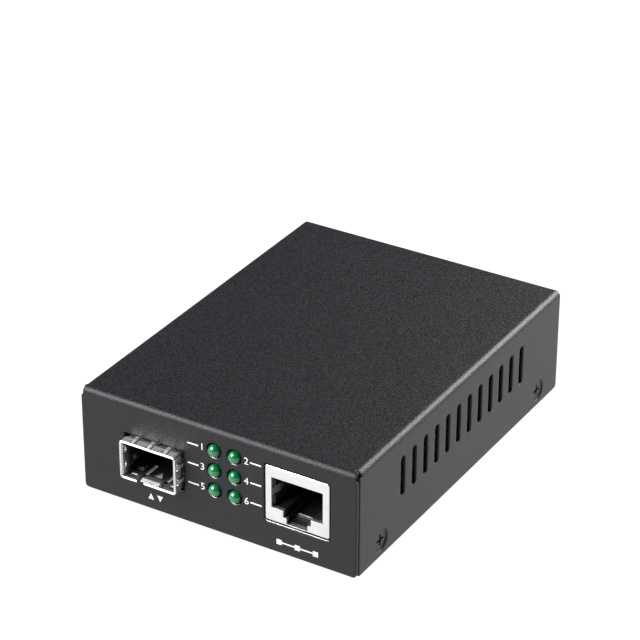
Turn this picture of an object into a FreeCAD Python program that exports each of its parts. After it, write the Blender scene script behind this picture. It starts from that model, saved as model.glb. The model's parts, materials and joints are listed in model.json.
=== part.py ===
import FreeCAD, Part
import math
import os

# Fibre media converter: a folded steel case with an SFP cage, six status lamps and a
# shielded RJ45 jack on the front, and a power inlet at the back.  Millimetres, +Z up.
#
# Everything is drawn in the case frame: X from the middle of the case, Y backwards from
# the outer face of the front panel, Z up from the bottom edge of the case.  When a piece is
# written it is moved to the part's origin, the bottom centre of the whole object's box.

V = FreeCAD.Vector

# ---------------------------------------------------------------- case and sheet metal
CASE_W = 71.0
CASE_D = 94.5
CASE_H = 26.0
SHEET = 0.8                  # steel sheet of cover and tray
SIDE_BEND_R = 1.3            # outer radius, top to side flange
FRONT_BEND_R = 1.5           # outer radius, top to front flange
CORNER_R = 0.9               # rounded free corners of the flanges
FRONT_INSET = 0.1            # front flange narrower than the case, each side
BEND_INSET = 0.55            # front bend narrower than the case, each side
SEAM = 0.3                   # gap between front flange and side flange
RELIEF = 0.35                # relief slit between front bend and side bend
BEND_CLEARANCE = 0.05        # relief slit behind the front bend
FIT = 0.15                   # tray inside cover, each side
FOOT_PROUD = 1.4             # rubber feet below the case
CAGE_PROUD = 3.0             # SFP cage in front of the front panel

# ---------------------------------------------------------------- side slots and side screws
SLOT_COUNT = 12
SLOT_FIRST_Y = 19.5          # middle of the first slot
SLOT_REAR_MARGIN = 19.45     # middle of the last slot to the rear edge
SLOT_W = 2.0
SLOT_LOW = 10.5              # lower end of the slots
SLOT_TOP_MARGIN = 5.4        # upper end of the slots to the top of the case
SCREW_FRONT_Y = 10.4
SCREW_REAR_MARGIN = 10.0     # rear screws to the rear edge
SCREW_Z = 3.9
SCREW_R = 1.5
SCREW_LENGTH = 4.0
SINK_R = 2.85                # mouth of the countersink in the cover
HEAD_DEPTH = 0.3             # head below the cover's surface
CROSS_LENGTH = 2.9
CROSS_WIDTH = 0.62
CROSS_DEPTH = 1.1

# ---------------------------------------------------------------- tray
TRAY_FLANGE_H = 9.2
TRAY_BEND_R = 1.2
TRAY_FRONT_GAP = 0.4
BACK_RECESS = 0.2            # back panel behind the cover's rear edge
BACK_GAP = 0.3               # back panel to the cover's flanges and top
BACK_LIP = 6.0
KEYHOLE_SPACING = 40.0
KEYHOLE_Y = 44.0
KEYHOLE_HEAD_R = 3.6
KEYHOLE_NECK_R = 1.9
KEYHOLE_LENGTH = 7.0

# ---------------------------------------------------------------- feet
FOOT_R = 4.5
FOOT_INSET = (8.5, 10.0)     # middle of a foot from the side and from the end of the case
FOOT_CHAMFER = 0.4

# ---------------------------------------------------------------- circuit board
BOARD_T = 1.6
BOARD_TOP = 7.7
BOARD_SIDE_GAP = 2.75        # board to the tray's side flanges
BOARD_FRONT_GAP = 0.1        # board to the front panel
BOARD_BACK_GAP = 0.9         # board to the back panel
BOARD_CORNER_R = 1.0
BOARD_SCREW_INSET = 4.0      # from the sides of the board
BOARD_SCREW_FRONT_Y = 25.0
BOARD_SCREW_BACK = 7.6       # from the rear edge of the board
BOARD_HOLE_R = 1.6
STUD_R = 1.25
PAN_R = 2.75
PAN_H = 1.9
PAN_BEVEL = 0.5
STUD_LENGTH = 3.5            # screw thread below the board
STANDOFF_R = 2.75            # hexagonal studs, across corners
THREAD_GAP = 0.05

# ---------------------------------------------------------------- SFP cage and its collar
SFP_FROM_LEFT = 19.3         # middle of the cage from the left side of the case
CAGE_W = 14.0
CAGE_H = 9.3
CAGE_WALL = 0.3
CAGE_LENGTH = 47.0
CAGE_R = 0.45
CAGE_LEG = (1.1, 2.6)        # leg width along the cage, leg length below the cage
CAGE_LEG_COUNT = 4           # on each side
CAGE_LEG_FIRST_Y = 8.0
CAGE_LEG_BACK = 6.5          # last leg to the rear end of the cage
LEG_HOLE_GAP = 0.2
LEG_OVERLAP = 1.0            # length of a leg's root that runs up the wall
SFP_OPEN_SIDE = 1.0          # panel opening round the cage: sides, above, below
SFP_OPEN_ABOVE = 0.85
SFP_OPEN_BELOW = 0.35
SFP_OPEN_R = 0.3
RIM = 0.55                   # rolled rim of the collar
RIM_DEPTH = 0.5
RIM_CORNER_R = 0.75
RIM_HOLE_R = 0.3
RIM_BEVEL = 0.2
COLLAR_OFFSET = 0.4          # collar plates outside the cage, top and sides
PLATE = 0.22
PLATE_DEPTH = 1.8
FINGER_W = 0.9
FINGER_T = 0.15
FINGER_SLIT = 0.35
FINGER_LENGTH = 5.0
FINGER_BOW = 0.5             # crest of the bow above the line from root to tip
FINGER_LIFT = 0.25           # root above the cage; the tip rests on it
FINGER_ROOT = 0.1            # length held in the rim
FINGER_STEPS = 4
TOP_FINGERS = (-4.1, 0.1, 4.3)
SIDE_FINGERS = (-1.6, 2.2)   # above or below the cage's mid height
SEAM_AT = (-3.0, -1.0)       # gap in the rim where the collar's strip ends meet
TONGUE_W = 4.7
TONGUE_SLOT_W = 1.05
TONGUE_LENGTH = 7.35
NOSE_START = 0.35            # front of the nose behind the front of the cage
NOSE_RAMP = (0.8, 0.3)       # run and rise from the front of the nose to its crest
NOSE_CREST = 0.5
NOSE_FOOT = 1.0              # length of the nose that lies on the tongue
NOSE_DROP = 0.2              # front of the nose below the top of the tongue
LATCH_BASE = 3.3
LATCH_LENGTH = 2.9
LATCH_Y = 0.15
FRONT_WINDOW = (0.1, 1.2)    # front and rear end of the side windows behind the cage's front
TAB_WINDOW = (3.9, 5.9)      # the same for the windows that the inward tabs are cut from
FLOOR_WINDOW = (0.9, 2.2)    # front windows of the floor
FLOOR_TAB_WINDOW = (4.1, 6.1)
FLOOR_WINDOW_IN = 1.5        # middle of the floor's windows from the inside of the wall
FLOOR_WINDOW_W = 1.6
FLOOR_TAB_W = 1.2
INWARD_TAB_LEAN = 0.55       # tip of an inward tab from the wall
INWARD_TAB_T = 0.15
INWARD_TAB_REACH = 1.2       # length of the leaning part of an inward tab
TAB_ROOT = 0.25
RIB_OFFSETS = (-2.4, 3.2)    # guide ribs above or below the cage's mid height
RIB_W = 0.3
RIB_RISE = 0.12
RIB_SPAN = (0.4, 14.5)       # front and rear end of the ribs behind the cage's front
CONNECTOR_LENGTH = 9.0
CONNECTOR_BACK = 2.5         # rear of the connector to the rear end of the cage
CONNECTOR_SIDE_GAP = 0.5
CONNECTOR_H = 6.0
CONNECTOR_BEVEL = 0.6
CONNECTOR_SLOT = (10.2, 1.3, 6.0)
CONNECTOR_GROOVE = (0.45, 0.4)   # width, and depth above or below the slot
CONNECTOR_PITCH = 0.8
CONTACTS_PER_ROW = 10
BLADE = (0.3, 0.2)           # width and thickness of a contact
BLADE_RECESS = 0.5           # contacts behind the connector's face
FLOOR_OPENING_FRONT = 2.0    # cage's floor opening ahead of the connector

# ---------------------------------------------------------------- RJ45 jack
JACK_FROM_RIGHT = 14.85      # middle of the jack from the right side of the case
JACK_CHEEK = 1.55            # face beside the mouth
JACK_BROW = 2.65             # face above the mouth
JACK_H = 13.75
JACK_LENGTH = 21.2
JACK_PROUD = 0.1
JACK_WALL = 0.25
JACK_R = 0.5
JACK_BEVEL = 0.15
JACK_GAP = (0.35, 0.4, 0.6)  # panel opening round the jack: sides, above, below
MOUTH_W = 12.9
MOUTH_LOW = 3.4              # lower edge of the mouth above the board
STEP_1 = (7.0, 1.7)          # width of the first step, and its lower edge above the board
STEP_2 = (5.3, 0.3)
MOUTH_LINING = 0.2
MOUTH_LINING_DEPTH = 0.6
TAB_LOW = 6.3                # side tabs above the board
TAB_H = 1.9
TAB_LENGTH = 4.5
TAB_KNEE = 0.6               # share of the tab's length up to its knee
TAB_LEAN = 0.55
TAB_ROOM = 0.2               # clearance round a tab in the housing
FLOOR_PLATE_BACK = 5.0       # rear edge of the shield's floor
CAVITY_DEPTH = 13.5
CAVITY_INSET = 0.4
HOUSING_GAP = 0.15
CHANNEL_FLOOR = 0.2          # housing above the lower edge of the second step
SPRING_W = 3.5               # spring that stands up in the latch channel
SPRING_Y = 3.75
SPRING_H = 1.35
SPRING_GUARD = (0.4, 0.3)    # ridge in front of the spring: thickness, and spring above it
WIRE_COUNT = 8
WIRE_PITCH = 1.02
WIRE_W = 0.45
WIRE_T = 0.25
WIRE_RISE = 0.8              # grooves of the wires above the mouth
WIRE_GROOVE_FRONT = 4.2
WIRE_KNEE = (4.9, 12.2)      # Y of the wires' front bend and of their free end
WIRE_DROP = 3.2              # free end below the grooves
WIRE_GAP = 0.05
SHIELD_LEG = (1.6, 2.8)
SHIELD_LEG_Y = 9.0

# ---------------------------------------------------------------- status lamps
LAMP_SHIFT = 0.425           # middle of the lamps right of the middle between cage and jack
LAMP_COLUMN_COUNT = 2
LAMP_COLUMN_PITCH = 5.2
LAMP_ROW_COUNT = 3
LAMP_LOW = 2.7               # lowest row above the board
LAMP_TOP_MARGIN = 5.45       # highest row below the top of the case
LAMP_R = 1.5
LAMP_HOLE_R = 1.92
LAMP_PROUD = 1.2
LAMP_BACK = 4.6              # rear face of the lamps' flange
LAMP_FLANGE_R = 1.8
LAMP_FLANGE_T = 1.0
DOME_STEPS = 3
DOME_TIP_R = 0.15
HOLDER_WALL = 2.6            # from the middle of a lamp to the holder's sides and top
HOLDER_GAP = 0.5             # holder behind the front panel
HOLDER_DEPTH = 6.2
HOLDER_BEVEL = 0.5
LEAD = 0.45
LEAD_SPREAD = 1.27
LEAD_GAP = 1.5               # first leads behind the holder
LEAD_STEP_Y = 1.8

# ---------------------------------------------------------------- power inlet
INLET_FROM_RIGHT = 17.5      # middle of the inlet from the right side of the case
INLET_RISE = 6.6             # middle of the bore above the board
INLET_W = 9.0
INLET_H = 11.3
INLET_LENGTH = 13.4
INLET_BEVEL = 0.8
INLET_PANEL_GAP = 0.1
INLET_NOSE_R = 3.9
INLET_NOSE_ROOT = 1.0        # length of the nose inside the block
INLET_HOLE_GAP = 0.2
INLET_BORE_R = 3.15
INLET_BORE_DEPTH = 10.0
INLET_PIN_R = 1.0
INLET_PIN_RECESS = 0.6
PIN_ROOT = 2.0               # length of the pin held behind the bore
PIN_BEVEL = 0.4
INLET_SPRING_ROOM = 1.2
SPRING_ROOM_W = 2.4
SPRING_ROOM_END = 3.0        # front end of the spring's room behind the mouth of the bore
INLET_SPRING_W = 2.0
INLET_SPRING_T = 0.25
SPRING_SEAT = (0.2, 1.5)     # gap behind the spring, and length of its flat end
SPRING_CREST = (5.5, 1.5)    # crest behind the mouth of the bore, and its height
SPRING_END = 3.2             # free end behind the mouth of the bore

# ---------------------------------------------------------------- parts on the board
PACKAGE_LIFT = 0.1           # moulded packages above the board
PACKAGE_BEVEL = 0.25
LEAD_T = 0.15                # gull-wing leads
LEAD_W = 0.4
LEAD_SHOULDER = 0.5          # length of a lead's upper end
LEAD_SLANT = 0.2             # run of its steep middle
CHIP_SIZE = 14.0
CHIP_H = 1.3
CHIP_BEHIND_CAGE = 11.0      # middle of the converter chip behind the cage
CHIP_LEAD_COUNT = 8          # on each side
CHIP_LEAD_PITCH = 1.5
CHIP_LEAD_REACH = 1.2
SMALL_CHIP = (3.9, 4.9, 1.4)
SMALL_CHIP_LEAD_COUNT = 4    # on each side
SMALL_CHIP_PITCH = 1.27
SMALL_CHIP_REACH = 1.1
MEMORY_FROM_JACK = (-3.65, 26.4)     # from the middle of the jack and from its back
REGULATOR_FROM_INLET = (-10.0, 19.6)     # to the left of the inlet, and ahead of the board's end
MAGNETICS_SIZE = (13.4, 15.0, 5.8)
MAGNETICS_LEAD_COUNT = 6     # on each side
MAGNETICS_PITCH = 2.0
MAGNETICS_LEAD_H = 1.2
MAGNETICS_FROM_JACK = (-3.25, 14.6)
CRYSTAL_SIZE = (4.6, 11.0, 3.5)
CRYSTAL_RIM = (0.4, 0.5)     # width and height of the rim round its foot
CRYSTAL_AT = (-3.2, 30.0)    # from the middle of the lamps and from the front
INDUCTOR_SIZE = (10.0, 4.2)
INDUCTOR_CORE_R = 4.0
INDUCTOR_CORE_DEPTH = 0.4
INDUCTOR_AHEAD = 27.5        # ahead of the board's end, in line with the inlet
CAPACITOR_SIZES = {          # radius, height
    "capacitor_input": (4.0, 12.0),
    "capacitor_output": (3.15, 11.0),
    "capacitor_port": (2.5, 10.0),
}
CAPACITOR_BEVEL = 0.4
CAPACITOR_INPUT_FROM_INLET = (-10.5, 8.6)
CAPACITOR_OUTPUT_FROM_INLET = (-12.0, 29.6)
CAPACITOR_PORT_AT = (-4.35, 20.0)    # from the middle of the lamps and from the front
RESISTOR_SIZE = (2.0, 1.25, 0.6)
RESISTOR_PITCH = 3.0
RESISTOR_SIDE_INSET = 4.0    # rows beside the cage and beside the magnetics, from the board's edge
RESISTOR_COUNT = {"left": 5, "right": 5, "front": 3, "middle": 4, "back": 4}
RESISTOR_FIRST_YS = {"left": 36.0, "right": 44.6, "front": 20.0, "middle": 48.0}
RESISTOR_LAMP_OFFSETS = {"front": 3.35, "middle": -3.15}     # from the middle of the lamps
RESISTOR_BACK_AT = (19.0, 14.0)      # last row from the left side and the end of the board

# ---------------------------------------------------------------- fineness of the drawing
FINE_ARC_R = 1.1             # arcs up to this radius are drawn as a few straight facets
FINE_ARC_FACETS = 3
FEW_SIDES = 8                # flat sides of thread shanks and hidden bores
SOME_SIDES = 16              # of other hidden rounds
MANY_SIDES = 24              # of rounds in view
SAME_PLACE = 0.0001          # points closer than this are one point

# ---------------------------------------------------------------- worked out from the above
HALF_W = CASE_W / 2
HEAD_R = SINK_R - HEAD_DEPTH
COVER_INNER = HALF_W - SHEET
TRAY_HALF = COVER_INNER - FIT
BACK_Y = CASE_D - BACK_RECESS
SIDE_START = SHEET + SEAM
BEND_START = FRONT_BEND_R + BEND_CLEARANCE
SCREW_YS = (SCREW_FRONT_Y, CASE_D - SCREW_REAR_MARGIN)
FOOT_X = HALF_W - FOOT_INSET[0]
FOOT_YS = (FOOT_INSET[1], CASE_D - FOOT_INSET[1])
BOARD_HALF = TRAY_HALF - SHEET - BOARD_SIDE_GAP
BOARD_FRONT = SHEET + BOARD_FRONT_GAP
BOARD_BACK = BACK_Y - SHEET - BOARD_BACK_GAP
BOARD_SCREW_X = BOARD_HALF - BOARD_SCREW_INSET
BOARD_SCREW_YS = (BOARD_SCREW_FRONT_Y, BOARD_BACK - BOARD_SCREW_BACK)
SFP_X = SFP_FROM_LEFT - HALF_W
MOUTH_Y = -CAGE_PROUD
CAGE_FRONT = MOUTH_Y + RIM_DEPTH
CAGE_BACK = CAGE_FRONT + CAGE_LENGTH
CAGE_TOP = BOARD_TOP + CAGE_H
CAGE_MID_Z = BOARD_TOP + CAGE_H / 2
CAGE_INNER = CAGE_W / 2 - CAGE_WALL
CAGE_FLOOR = BOARD_TOP + CAGE_WALL
COLLAR_HALF = CAGE_W / 2 + COLLAR_OFFSET
COLLAR_TOP = CAGE_TOP + COLLAR_OFFSET
CONNECTOR_W = 2 * (CAGE_INNER - CONNECTOR_SIDE_GAP)
CONNECTOR_Y = (CAGE_BACK - CONNECTOR_BACK - CONNECTOR_LENGTH, CAGE_BACK - CONNECTOR_BACK)
JACK_X = HALF_W - JACK_FROM_RIGHT
JACK_W = MOUTH_W + 2 * JACK_CHEEK
JACK_TOP = BOARD_TOP + JACK_H
JACK_BACK = JACK_LENGTH - JACK_PROUD
MOUTH_Z = (BOARD_TOP + MOUTH_LOW, JACK_TOP - JACK_BROW)
STEP_1_Z = BOARD_TOP + STEP_1[1]
STEP_2_Z = BOARD_TOP + STEP_2[1]
TAB_Z = (BOARD_TOP + TAB_LOW, BOARD_TOP + TAB_LOW + TAB_H)
WIRE_ROOF = MOUTH_Z[1] + WIRE_RISE
LAMP_MID_X = (SFP_X + CAGE_W / 2 + JACK_X - JACK_W / 2) / 2 + LAMP_SHIFT
HOLDER_Y = (SHEET + HOLDER_GAP, SHEET + HOLDER_GAP + HOLDER_DEPTH)
INLET_X = HALF_W - INLET_FROM_RIGHT
INLET_Z = BOARD_TOP + INLET_RISE
INLET_BACK = BACK_Y - SHEET - INLET_PANEL_GAP
CHIP_AT = (SFP_X, CAGE_BACK + CHIP_BEHIND_CAGE)
MEMORY_AT = (JACK_X + MEMORY_FROM_JACK[0], JACK_BACK + MEMORY_FROM_JACK[1])
MAGNETICS_AT = (JACK_X + MAGNETICS_FROM_JACK[0], JACK_BACK + MAGNETICS_FROM_JACK[1])
INDUCTOR_AT = (INLET_X, BOARD_BACK - INDUCTOR_AHEAD)
ORIGIN = V(0, (CAGE_PROUD - CASE_D) / 2, FOOT_PROUD)

PLANES = {
    "XY": (lambda u, v, w: V(u, v, w), V(0, 0, 1)),
    "XZ": (lambda u, v, w: V(u, w, v), V(0, 1, 0)),
    "YZ": (lambda u, v, w: V(w, u, v), V(1, 0, 0)),
}


# ================================================================ drawing helpers
def about(middle, size):
    """Low and high end of a span about its middle."""
    return (middle - size / 2, middle + size / 2)


def evenly(first, last, count):
    """Places at equal steps from the first to the last."""
    return [first + (last - first) * index / (count - 1) for index in range(count)]


def box(x, y, z):
    """Block between three (low, high) pairs."""
    return Part.makeBox(x[1] - x[0], y[1] - y[0], z[1] - z[0], V(x[0], y[0], z[0]))


def corner(before, point, after, radius):
    """Points along the arc that rounds one corner, in 2D: three, or one for each end of a facet."""
    to_before = (before - point).normalize()
    to_after = (after - point).normalize()
    half = to_before.getAngle(to_after) / 2
    centre = point + (to_before + to_after).normalize() * (radius / math.sin(half))
    spoke = point + to_before * (radius / math.tan(half)) - centre
    turn = math.copysign(math.pi - 2 * half, to_after.cross(to_before).z)
    facets = FINE_ARC_FACETS if radius <= FINE_ARC_R else 2
    points = []
    for index in range(facets + 1):
        angle = turn * index / facets
        cosine, sine = math.cos(angle), math.sin(angle)
        points.append(centre + V(spoke.x * cosine - spoke.y * sine, spoke.x * sine + spoke.y * cosine, 0))
    return points


def run_of_edges(points, radii, lift):
    """Straight edges through 2D points, rounded at each point whose radius is not 0."""
    edges = []
    last = points[0]
    for index in range(1, len(points)):
        rounded = radii[index] > 0
        turn = [points[index]]
        if rounded:
            turn = corner(points[index - 1], points[index], points[index + 1], radii[index])
        line = [last, turn[0]]
        if rounded and radii[index] > FINE_ARC_R:
            arc = Part.Arc(*[lift(p) for p in turn])
        else:
            line += turn[1:]
            arc = None
        for start, end in zip(line, line[1:]):
            if start.distanceToPoint(end) > SAME_PLACE:
                edges.append(Part.LineSegment(lift(start), lift(end)).toShape())
        if arc:
            edges.append(arc.toShape())
        last = turn[-1]
    return edges


def prism(points, radii, plane, span):
    """Closed 2D outline with rounded corners, extruded over a span along the plane's normal."""
    place, normal = PLANES[plane]
    corners = [V(u, v, 0) for u, v in points]
    if not isinstance(radii, (list, tuple)):
        radii = [radii] * len(corners)
    start = (corners[-1] + corners[0]) * 0.5
    path = [start] + corners + [start]
    edges = run_of_edges(path, [0] + list(radii) + [0], lambda p: place(p.x, p.y, span[0]))
    return Part.Face(Part.Wire(edges)).extrude(normal * (span[1] - span[0]))


def rounded_block(x, z, radius, y):
    """Block with rounded edges along Y."""
    return prism([(x[0], z[0]), (x[1], z[0]), (x[1], z[1]), (x[0], z[1])], radius, "XZ", y)


def fold(points, thickness, inner_radius, plane, span):
    """Bent sheet: the 2D points are its outer line, and its thickness lies to their left.

    With an inner radius of 0 its bends are sharp on both sides, as thin wires are drawn.
    """
    place, normal = PLANES[plane]
    line = [V(u, v, 0) for u, v in points]
    sides = []
    for first, second in zip(line, line[1:]):
        along = (second - first).normalize()
        sides.append(V(-along.y, along.x, 0))
    shifted = [line[0] + sides[0] * thickness]
    line_radii = [0]
    shifted_radii = [0]
    for point, before, after in zip(line[1:-1], sides, sides[1:]):
        shifted.append(point + (before + after) * (thickness / (1 + before.dot(after))))
        large_radius = inner_radius + thickness if inner_radius else 0
        left_turn = before.cross(after).z > 0
        line_radii.append(large_radius if left_turn else inner_radius)
        shifted_radii.append(inner_radius if left_turn else large_radius)
    shifted.append(line[-1] + sides[-1] * thickness)

    def lift(p):
        return place(p.x, p.y, span[0])

    edges = run_of_edges(line, line_radii + [0], lift)
    edges += run_of_edges(
        [line[-1]] + shifted[::-1] + [line[0]], [0, 0] + shifted_radii[:0:-1] + [0, 0], lift
    )
    return Part.Face(Part.Wire(edges)).extrude(normal * (span[1] - span[0]))


def many_sided(profile, sides, start, axis):
    """Flat-sided round from (distance along the axis, radius across corners) points."""
    rings = []
    for along, radius in profile:
        angles = [2 * math.pi * (index + 0.5) / sides for index in range(sides)]
        rings.append([V(along, radius * math.cos(a), radius * math.sin(a)) for a in angles])
    faces = [Part.Face(Part.makePolygon(ring + ring[:1])) for ring in (rings[0], rings[-1])]
    for near, far in zip(rings, rings[1:]):
        for index in range(sides):
            low, high = index - 1, index
            faces.append(Part.Face(Part.makePolygon([near[low], near[high], far[high], far[low], near[low]])))
    solid = Part.makeSolid(Part.makeShell(faces))
    solid.Placement = FreeCAD.Placement(V(*start), FreeCAD.Rotation(V(1, 0, 0), V(*axis)))
    return solid


def flat_sided_rod(start, axis, radius, length, sides):
    """Straight bar with flat sides, its radius measured across corners."""
    return many_sided([(0, radius), (length, radius)], sides, start, axis)


def bore_corner_r(radius, sides):
    """Radius across corners of a flat-sided bore that clears a round of the given radius."""
    return radius / math.cos(math.pi / sides)


def fused(shapes):
    """Union with its seams cleaned away."""
    first, rest = shapes[0], list(shapes[1:])
    return first.fuse(rest).removeSplitter() if rest else first


def cross_recess(centre, axis_x, depth):
    """Cross-shaped driver recess, for an axis along X or along Z."""
    blades = []
    for wide, tall in ((CROSS_LENGTH, CROSS_WIDTH), (CROSS_WIDTH, CROSS_LENGTH)):
        if axis_x:
            reach = sorted((centre[0], centre[0] - math.copysign(depth, centre[0])))
            blades.append(box(reach, about(centre[1], wide), about(centre[2], tall)))
        else:
            reach = (centre[2] - depth, centre[2])
            blades.append(box(about(centre[0], wide), about(centre[1], tall), reach))
    return fused(blades)


# ================================================================ case
def side_screw_places():
    """Outward side, Y of each side screw."""
    return [(side, y) for side in (-1, 1) for y in SCREW_YS]


def countersink(side, y, mouth_r, depth):
    """Cone of the side screws' heads, 90 degrees, from the cover's outer face inwards."""
    profile = [(0, mouth_r), (mouth_r - SCREW_R, SCREW_R), (depth, SCREW_R)]
    return many_sided(profile, MANY_SIDES, (side * HALF_W, y, SCREW_Z), (-side, 0, 0))


def front_openings():
    """Openings of the front flange: SFP cage, RJ45 jack and lamps."""
    through = (-SHEET, 2 * SHEET)
    tools = [
        rounded_block(
            about(SFP_X, CAGE_W + 2 * SFP_OPEN_SIDE),
            (BOARD_TOP - SFP_OPEN_BELOW, CAGE_TOP + SFP_OPEN_ABOVE),
            SFP_OPEN_R, through,
        ),
        rounded_block(
            about(JACK_X, JACK_W + 2 * JACK_GAP[0]),
            (BOARD_TOP - JACK_GAP[2], JACK_TOP + JACK_GAP[1]),
            JACK_R + JACK_GAP[0], through,
        ),
    ]
    for _, x, z in lamp_places():
        tools.append(flat_sided_rod((x, through[0], z), (0, 1, 0), LAMP_HOLE_R, 3 * SHEET, MANY_SIDES))
    return tools


def side_slots():
    """Upright slots through both side flanges."""
    tools = []
    top = CASE_H - SLOT_TOP_MARGIN
    for y in evenly(SLOT_FIRST_Y, CASE_D - SLOT_REAR_MARGIN, SLOT_COUNT):
        low, high = about(y, SLOT_W)
        outline = [(low, SLOT_LOW), (high, SLOT_LOW), (high, top), (low, top)]
        tools.append(prism(outline, SLOT_W / 2, "YZ", (-CASE_W, CASE_W)))
    return tools


def top_cover():
    """One sheet folded into top, front flange and two side flanges."""
    channel = fold(
        [(HALF_W, 0), (HALF_W, CASE_H), (-HALF_W, CASE_H), (-HALF_W, 0)],
        SHEET, SIDE_BEND_R - SHEET, "XZ", (SIDE_START, CASE_D),
    )
    flange_top = CASE_H - FRONT_BEND_R
    above_sides = (CASE_H - SIDE_BEND_R, CASE_H)
    channel = channel.cut(box((-CASE_W, CASE_W), (0, BEND_START), above_sides))
    bend = fold(
        [(BEND_START, CASE_H), (0, CASE_H), (0, flange_top - CORNER_R)],
        SHEET, FRONT_BEND_R - SHEET, "YZ", (-HALF_W + BEND_INSET, HALF_W - BEND_INSET),
    )
    flange_half = HALF_W - FRONT_INSET
    flange = rounded_block((-flange_half, flange_half), (0, flange_top), CORNER_R, (0, SHEET))
    cover = fused([channel, bend, flange])
    slits = []
    for side in (-1, 1):
        x = sorted((side * (HALF_W - SIDE_BEND_R), side * CASE_W))
        slits.append(box(x, (BEND_START, BEND_START + RELIEF), above_sides))
    sinks = [countersink(side, y, SINK_R, 2 * SINK_R) for side, y in side_screw_places()]
    cover = cover.cut(slits + front_openings() + side_slots() + sinks)
    rear = [edge for edge in cover.Edges if is_rear_corner(edge)]
    return cover.makeFillet(CORNER_R, rear)


def is_rear_corner(edge):
    """True for the short edges at the lower rear corner of each side flange."""
    ends = [vertex.Point for vertex in edge.Vertexes]
    return len(ends) == 2 and all(
        abs(p.y - CASE_D) < SAME_PLACE and abs(p.z) < SAME_PLACE and abs(p.x) + SAME_PLACE > COVER_INNER
        for p in ends
    )


def keyhole(x):
    """Keyhole for a wall screw: round head hole with a narrow slot towards the front."""
    end_y = KEYHOLE_Y - KEYHOLE_LENGTH
    head = Part.makeCylinder(KEYHOLE_HEAD_R, 3 * SHEET, V(x, KEYHOLE_Y, -SHEET))
    slot = box(about(x, 2 * KEYHOLE_NECK_R), (end_y, KEYHOLE_Y), (-SHEET, 2 * SHEET))
    end = Part.makeCylinder(KEYHOLE_NECK_R, 3 * SHEET, V(x, end_y, -SHEET))
    return fused([head, slot, end])


def board_screw_places():
    """X, Y of the screws that hold the circuit board."""
    return [(x, y) for x in (-BOARD_SCREW_X, BOARD_SCREW_X) for y in BOARD_SCREW_YS]


def base_tray():
    """One sheet folded into bottom, two low side flanges and the back panel with its lip."""
    front = SHEET + TRAY_FRONT_GAP
    bend_zone = BACK_Y - TRAY_BEND_R
    inner_r = TRAY_BEND_R - SHEET
    channel = fold(
        [(-TRAY_HALF, TRAY_FLANGE_H), (-TRAY_HALF, 0), (TRAY_HALF, 0), (TRAY_HALF, TRAY_FLANGE_H)],
        SHEET, inner_r, "XZ", (front, bend_zone - RELIEF),
    )
    lip_z = CASE_H - SHEET - BACK_GAP
    back_half = TRAY_HALF - TRAY_BEND_R
    back = fold(
        [(bend_zone - 2 * RELIEF, 0), (BACK_Y, 0), (BACK_Y, lip_z), (BACK_Y - BACK_LIP, lip_z)],
        SHEET, inner_r, "YZ", (-back_half, back_half),
    )
    panel = box((-TRAY_HALF, TRAY_HALF), (BACK_Y - SHEET, BACK_Y), (TRAY_BEND_R, lip_z - TRAY_BEND_R))
    taps = [countersink(side, y, SINK_R, SCREW_LENGTH) for side, y in side_screw_places()]
    inlet_r = INLET_NOSE_R + INLET_HOLE_GAP
    inlet_start = (INLET_X, BACK_Y - 2 * SHEET, INLET_Z)
    inlet = flat_sided_rod(inlet_start, (0, 1, 0), inlet_r, 3 * SHEET, MANY_SIDES)
    keyholes = [keyhole(x) for x in about(0, KEYHOLE_SPACING)]
    return fused([channel, back, panel]).cut(taps + keyholes + [inlet])


def cover_screws():
    """Four countersunk cross-head screws in the side flanges."""
    taper = HEAD_R - SCREW_R
    screws = []
    for side, y in side_screw_places():
        centre = (side * (HALF_W - HEAD_DEPTH), y, SCREW_Z)
        inwards = (-side, 0, 0)
        head = many_sided([(0, HEAD_R), (taper, SCREW_R)], MANY_SIDES, centre, inwards)
        shank = flat_sided_rod(centre, inwards, SCREW_R - THREAD_GAP, SCREW_LENGTH, FEW_SIDES)
        screws.append(fused([head, shank]).cut(cross_recess(centre, True, CROSS_DEPTH)))
    return screws


def foot(x, y):
    """Self-adhesive round rubber foot with a chamfered lower edge."""
    profile = [(0, FOOT_R), (FOOT_PROUD - FOOT_CHAMFER, FOOT_R), (FOOT_PROUD, FOOT_R - FOOT_CHAMFER)]
    return many_sided(profile, SOME_SIDES, (x, y, 0), (0, 0, -1))


def board_standoffs():
    """Hexagonal threaded studs welded to the tray, one under each corner of the board."""
    tall = BOARD_TOP - BOARD_T - SHEET
    bore_r = bore_corner_r(STUD_R + THREAD_GAP, FEW_SIDES)
    studs = []
    for x, y in board_screw_places():
        body = flat_sided_rod((x, y, SHEET), (0, 0, 1), STANDOFF_R, tall, 6)
        studs.append(body.cut(flat_sided_rod((x, y, SHEET), (0, 0, 1), bore_r, 2 * tall, FEW_SIDES)))
    return studs


def board_screws():
    """Four pan-head cross screws through the board."""
    screws = []
    length = BOARD_T + STUD_LENGTH
    for x, y in board_screw_places():
        profile = [(0, PAN_R), (PAN_H - PAN_BEVEL, PAN_R), (PAN_H, PAN_R - 2 * PAN_BEVEL)]
        head = many_sided(profile, SOME_SIDES, (x, y, BOARD_TOP), (0, 0, 1))
        shank = flat_sided_rod((x, y, BOARD_TOP - length), (0, 0, 1), STUD_R, length, FEW_SIDES)
        recess = cross_recess((x, y, BOARD_TOP + PAN_H), False, CROSS_DEPTH)
        screws.append(fused([head, shank]).cut(recess))
    return screws


# ================================================================ circuit board
def leg_hole(x, y, wide, long):
    """Slot in the board for a flat leg, with clearance all round."""
    grow = LEG_HOLE_GAP
    span = (BOARD_TOP - 2 * BOARD_T, BOARD_TOP + BOARD_T)
    return box(about(x, wide + grow), about(y, long + grow), span)


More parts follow.
